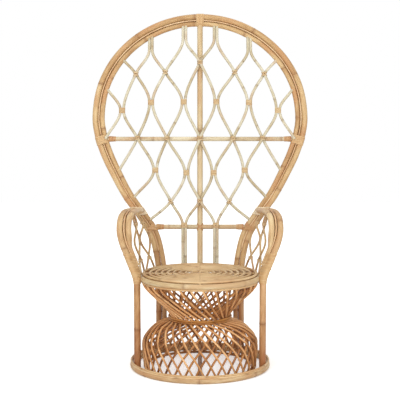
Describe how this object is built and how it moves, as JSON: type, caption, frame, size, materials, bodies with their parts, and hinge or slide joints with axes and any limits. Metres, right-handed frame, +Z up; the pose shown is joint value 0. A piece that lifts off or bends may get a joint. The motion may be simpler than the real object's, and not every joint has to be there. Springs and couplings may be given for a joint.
{
  "type": "peacock chair",
  "caption": "Tall peacock chair of pale rattan: a hooped back with a woven lattice, looped arms, a round seat of nailed rings, and an hourglass base of twisted rods.",
  "frame": {"origin": "centre of the footprint, on the floor", "axes": "+Z up, the sitter looks along -Y, +X to the sitter's left"},
  "size_m": [0.9514, 0.6594, 1.4983],
  "materials": {
    "rattan_pole": "satin, peeled and lacquered",
    "rattan_core": "satin, peeled and lacquered",
    "cane_wrap": "satin, flat cane in close turns"
  },
  "bodies": {
    "root": {"hoop_outer_pole": "rattan_pole", "hoop_inner_pole": "rattan_pole", "centre_post": "rattan_pole", "seat_back_rail": "rattan_pole", "seat_ring": "rattan_pole", "base_ring_front": "rattan_pole", "base_ring_rear": "rattan_pole", "base_stretcher": "rattan_pole", "upper_crossbar_left": "rattan_pole", "lower_crossbar_left": "rattan_pole", "seat_support_left": "rattan_pole", "front_post_left": "rattan_pole", "arm_outer_pole_left": "rattan_pole", "arm_inner_pole_left": "rattan_pole", "upper_crossbar_right": "rattan_pole", "lower_crossbar_right": "rattan_pole", "seat_support_right": "rattan_pole", "front_post_right": "rattan_pole", "arm_outer_pole_right": "rattan_pole", "arm_inner_pole_right": "rattan_pole", "hoop_filler": "rattan_core", "seat_rings": "rattan_core", "twist_cone_outer": "rattan_core", "twist_cone_inner": "rattan_core", "twist_dome_outer": "rattan_core", "twist_dome_inner": "rattan_core", "waist_hoops": "rattan_core", "base_hoop_lower": "rattan_core", "base_hoop_upper": "rattan_core", "arm_filler_left": "rattan_core", "lattice_rod_left_1": "rattan_core", "lattice_rod_left_2": "rattan_core", "lattice_rod_left_3": "rattan_core", "lattice_rod_left_4": "rattan_core", "lattice_rod_left_5": "rattan_core", "lattice_rod_left_6": "rattan_core", "side_lattice_front_1_left": "rattan_core", "side_lattice_front_2_left": "rattan_core", "side_lattice_rear_1_left": "rattan_core", "side_lattice_rear_2_left": "rattan_core", "arm_filler_right": "rattan_core", "lattice_rod_right_1": "rattan_core", "lattice_rod_right_2": "rattan_core", "lattice_rod_right_3": "rattan_core", "lattice_rod_right_4": "rattan_core", "lattice_rod_right_5": "rattan_core", "lattice_rod_right_6": "rattan_core", "side_lattice_front_1_right": "rattan_core", "side_lattice_front_2_right": "rattan_core", "side_lattice_rear_1_right": "rattan_core", "side_lattice_rear_2_right": "rattan_core", "hoop_top_wrap": "cane_wrap", "upper_crossbar_wrap_left": "cane_wrap", "lower_crossbar_wrap_left": "cane_wrap", "arm_post_wrap_left": "cane_wrap", "arm_end_wrap_left": "cane_wrap", "upper_crossbar_wrap_right": "cane_wrap", "lower_crossbar_wrap_right": "cane_wrap", "arm_post_wrap_right": "cane_wrap", "arm_end_wrap_right": "cane_wrap"}
  },
  "joints": []
}
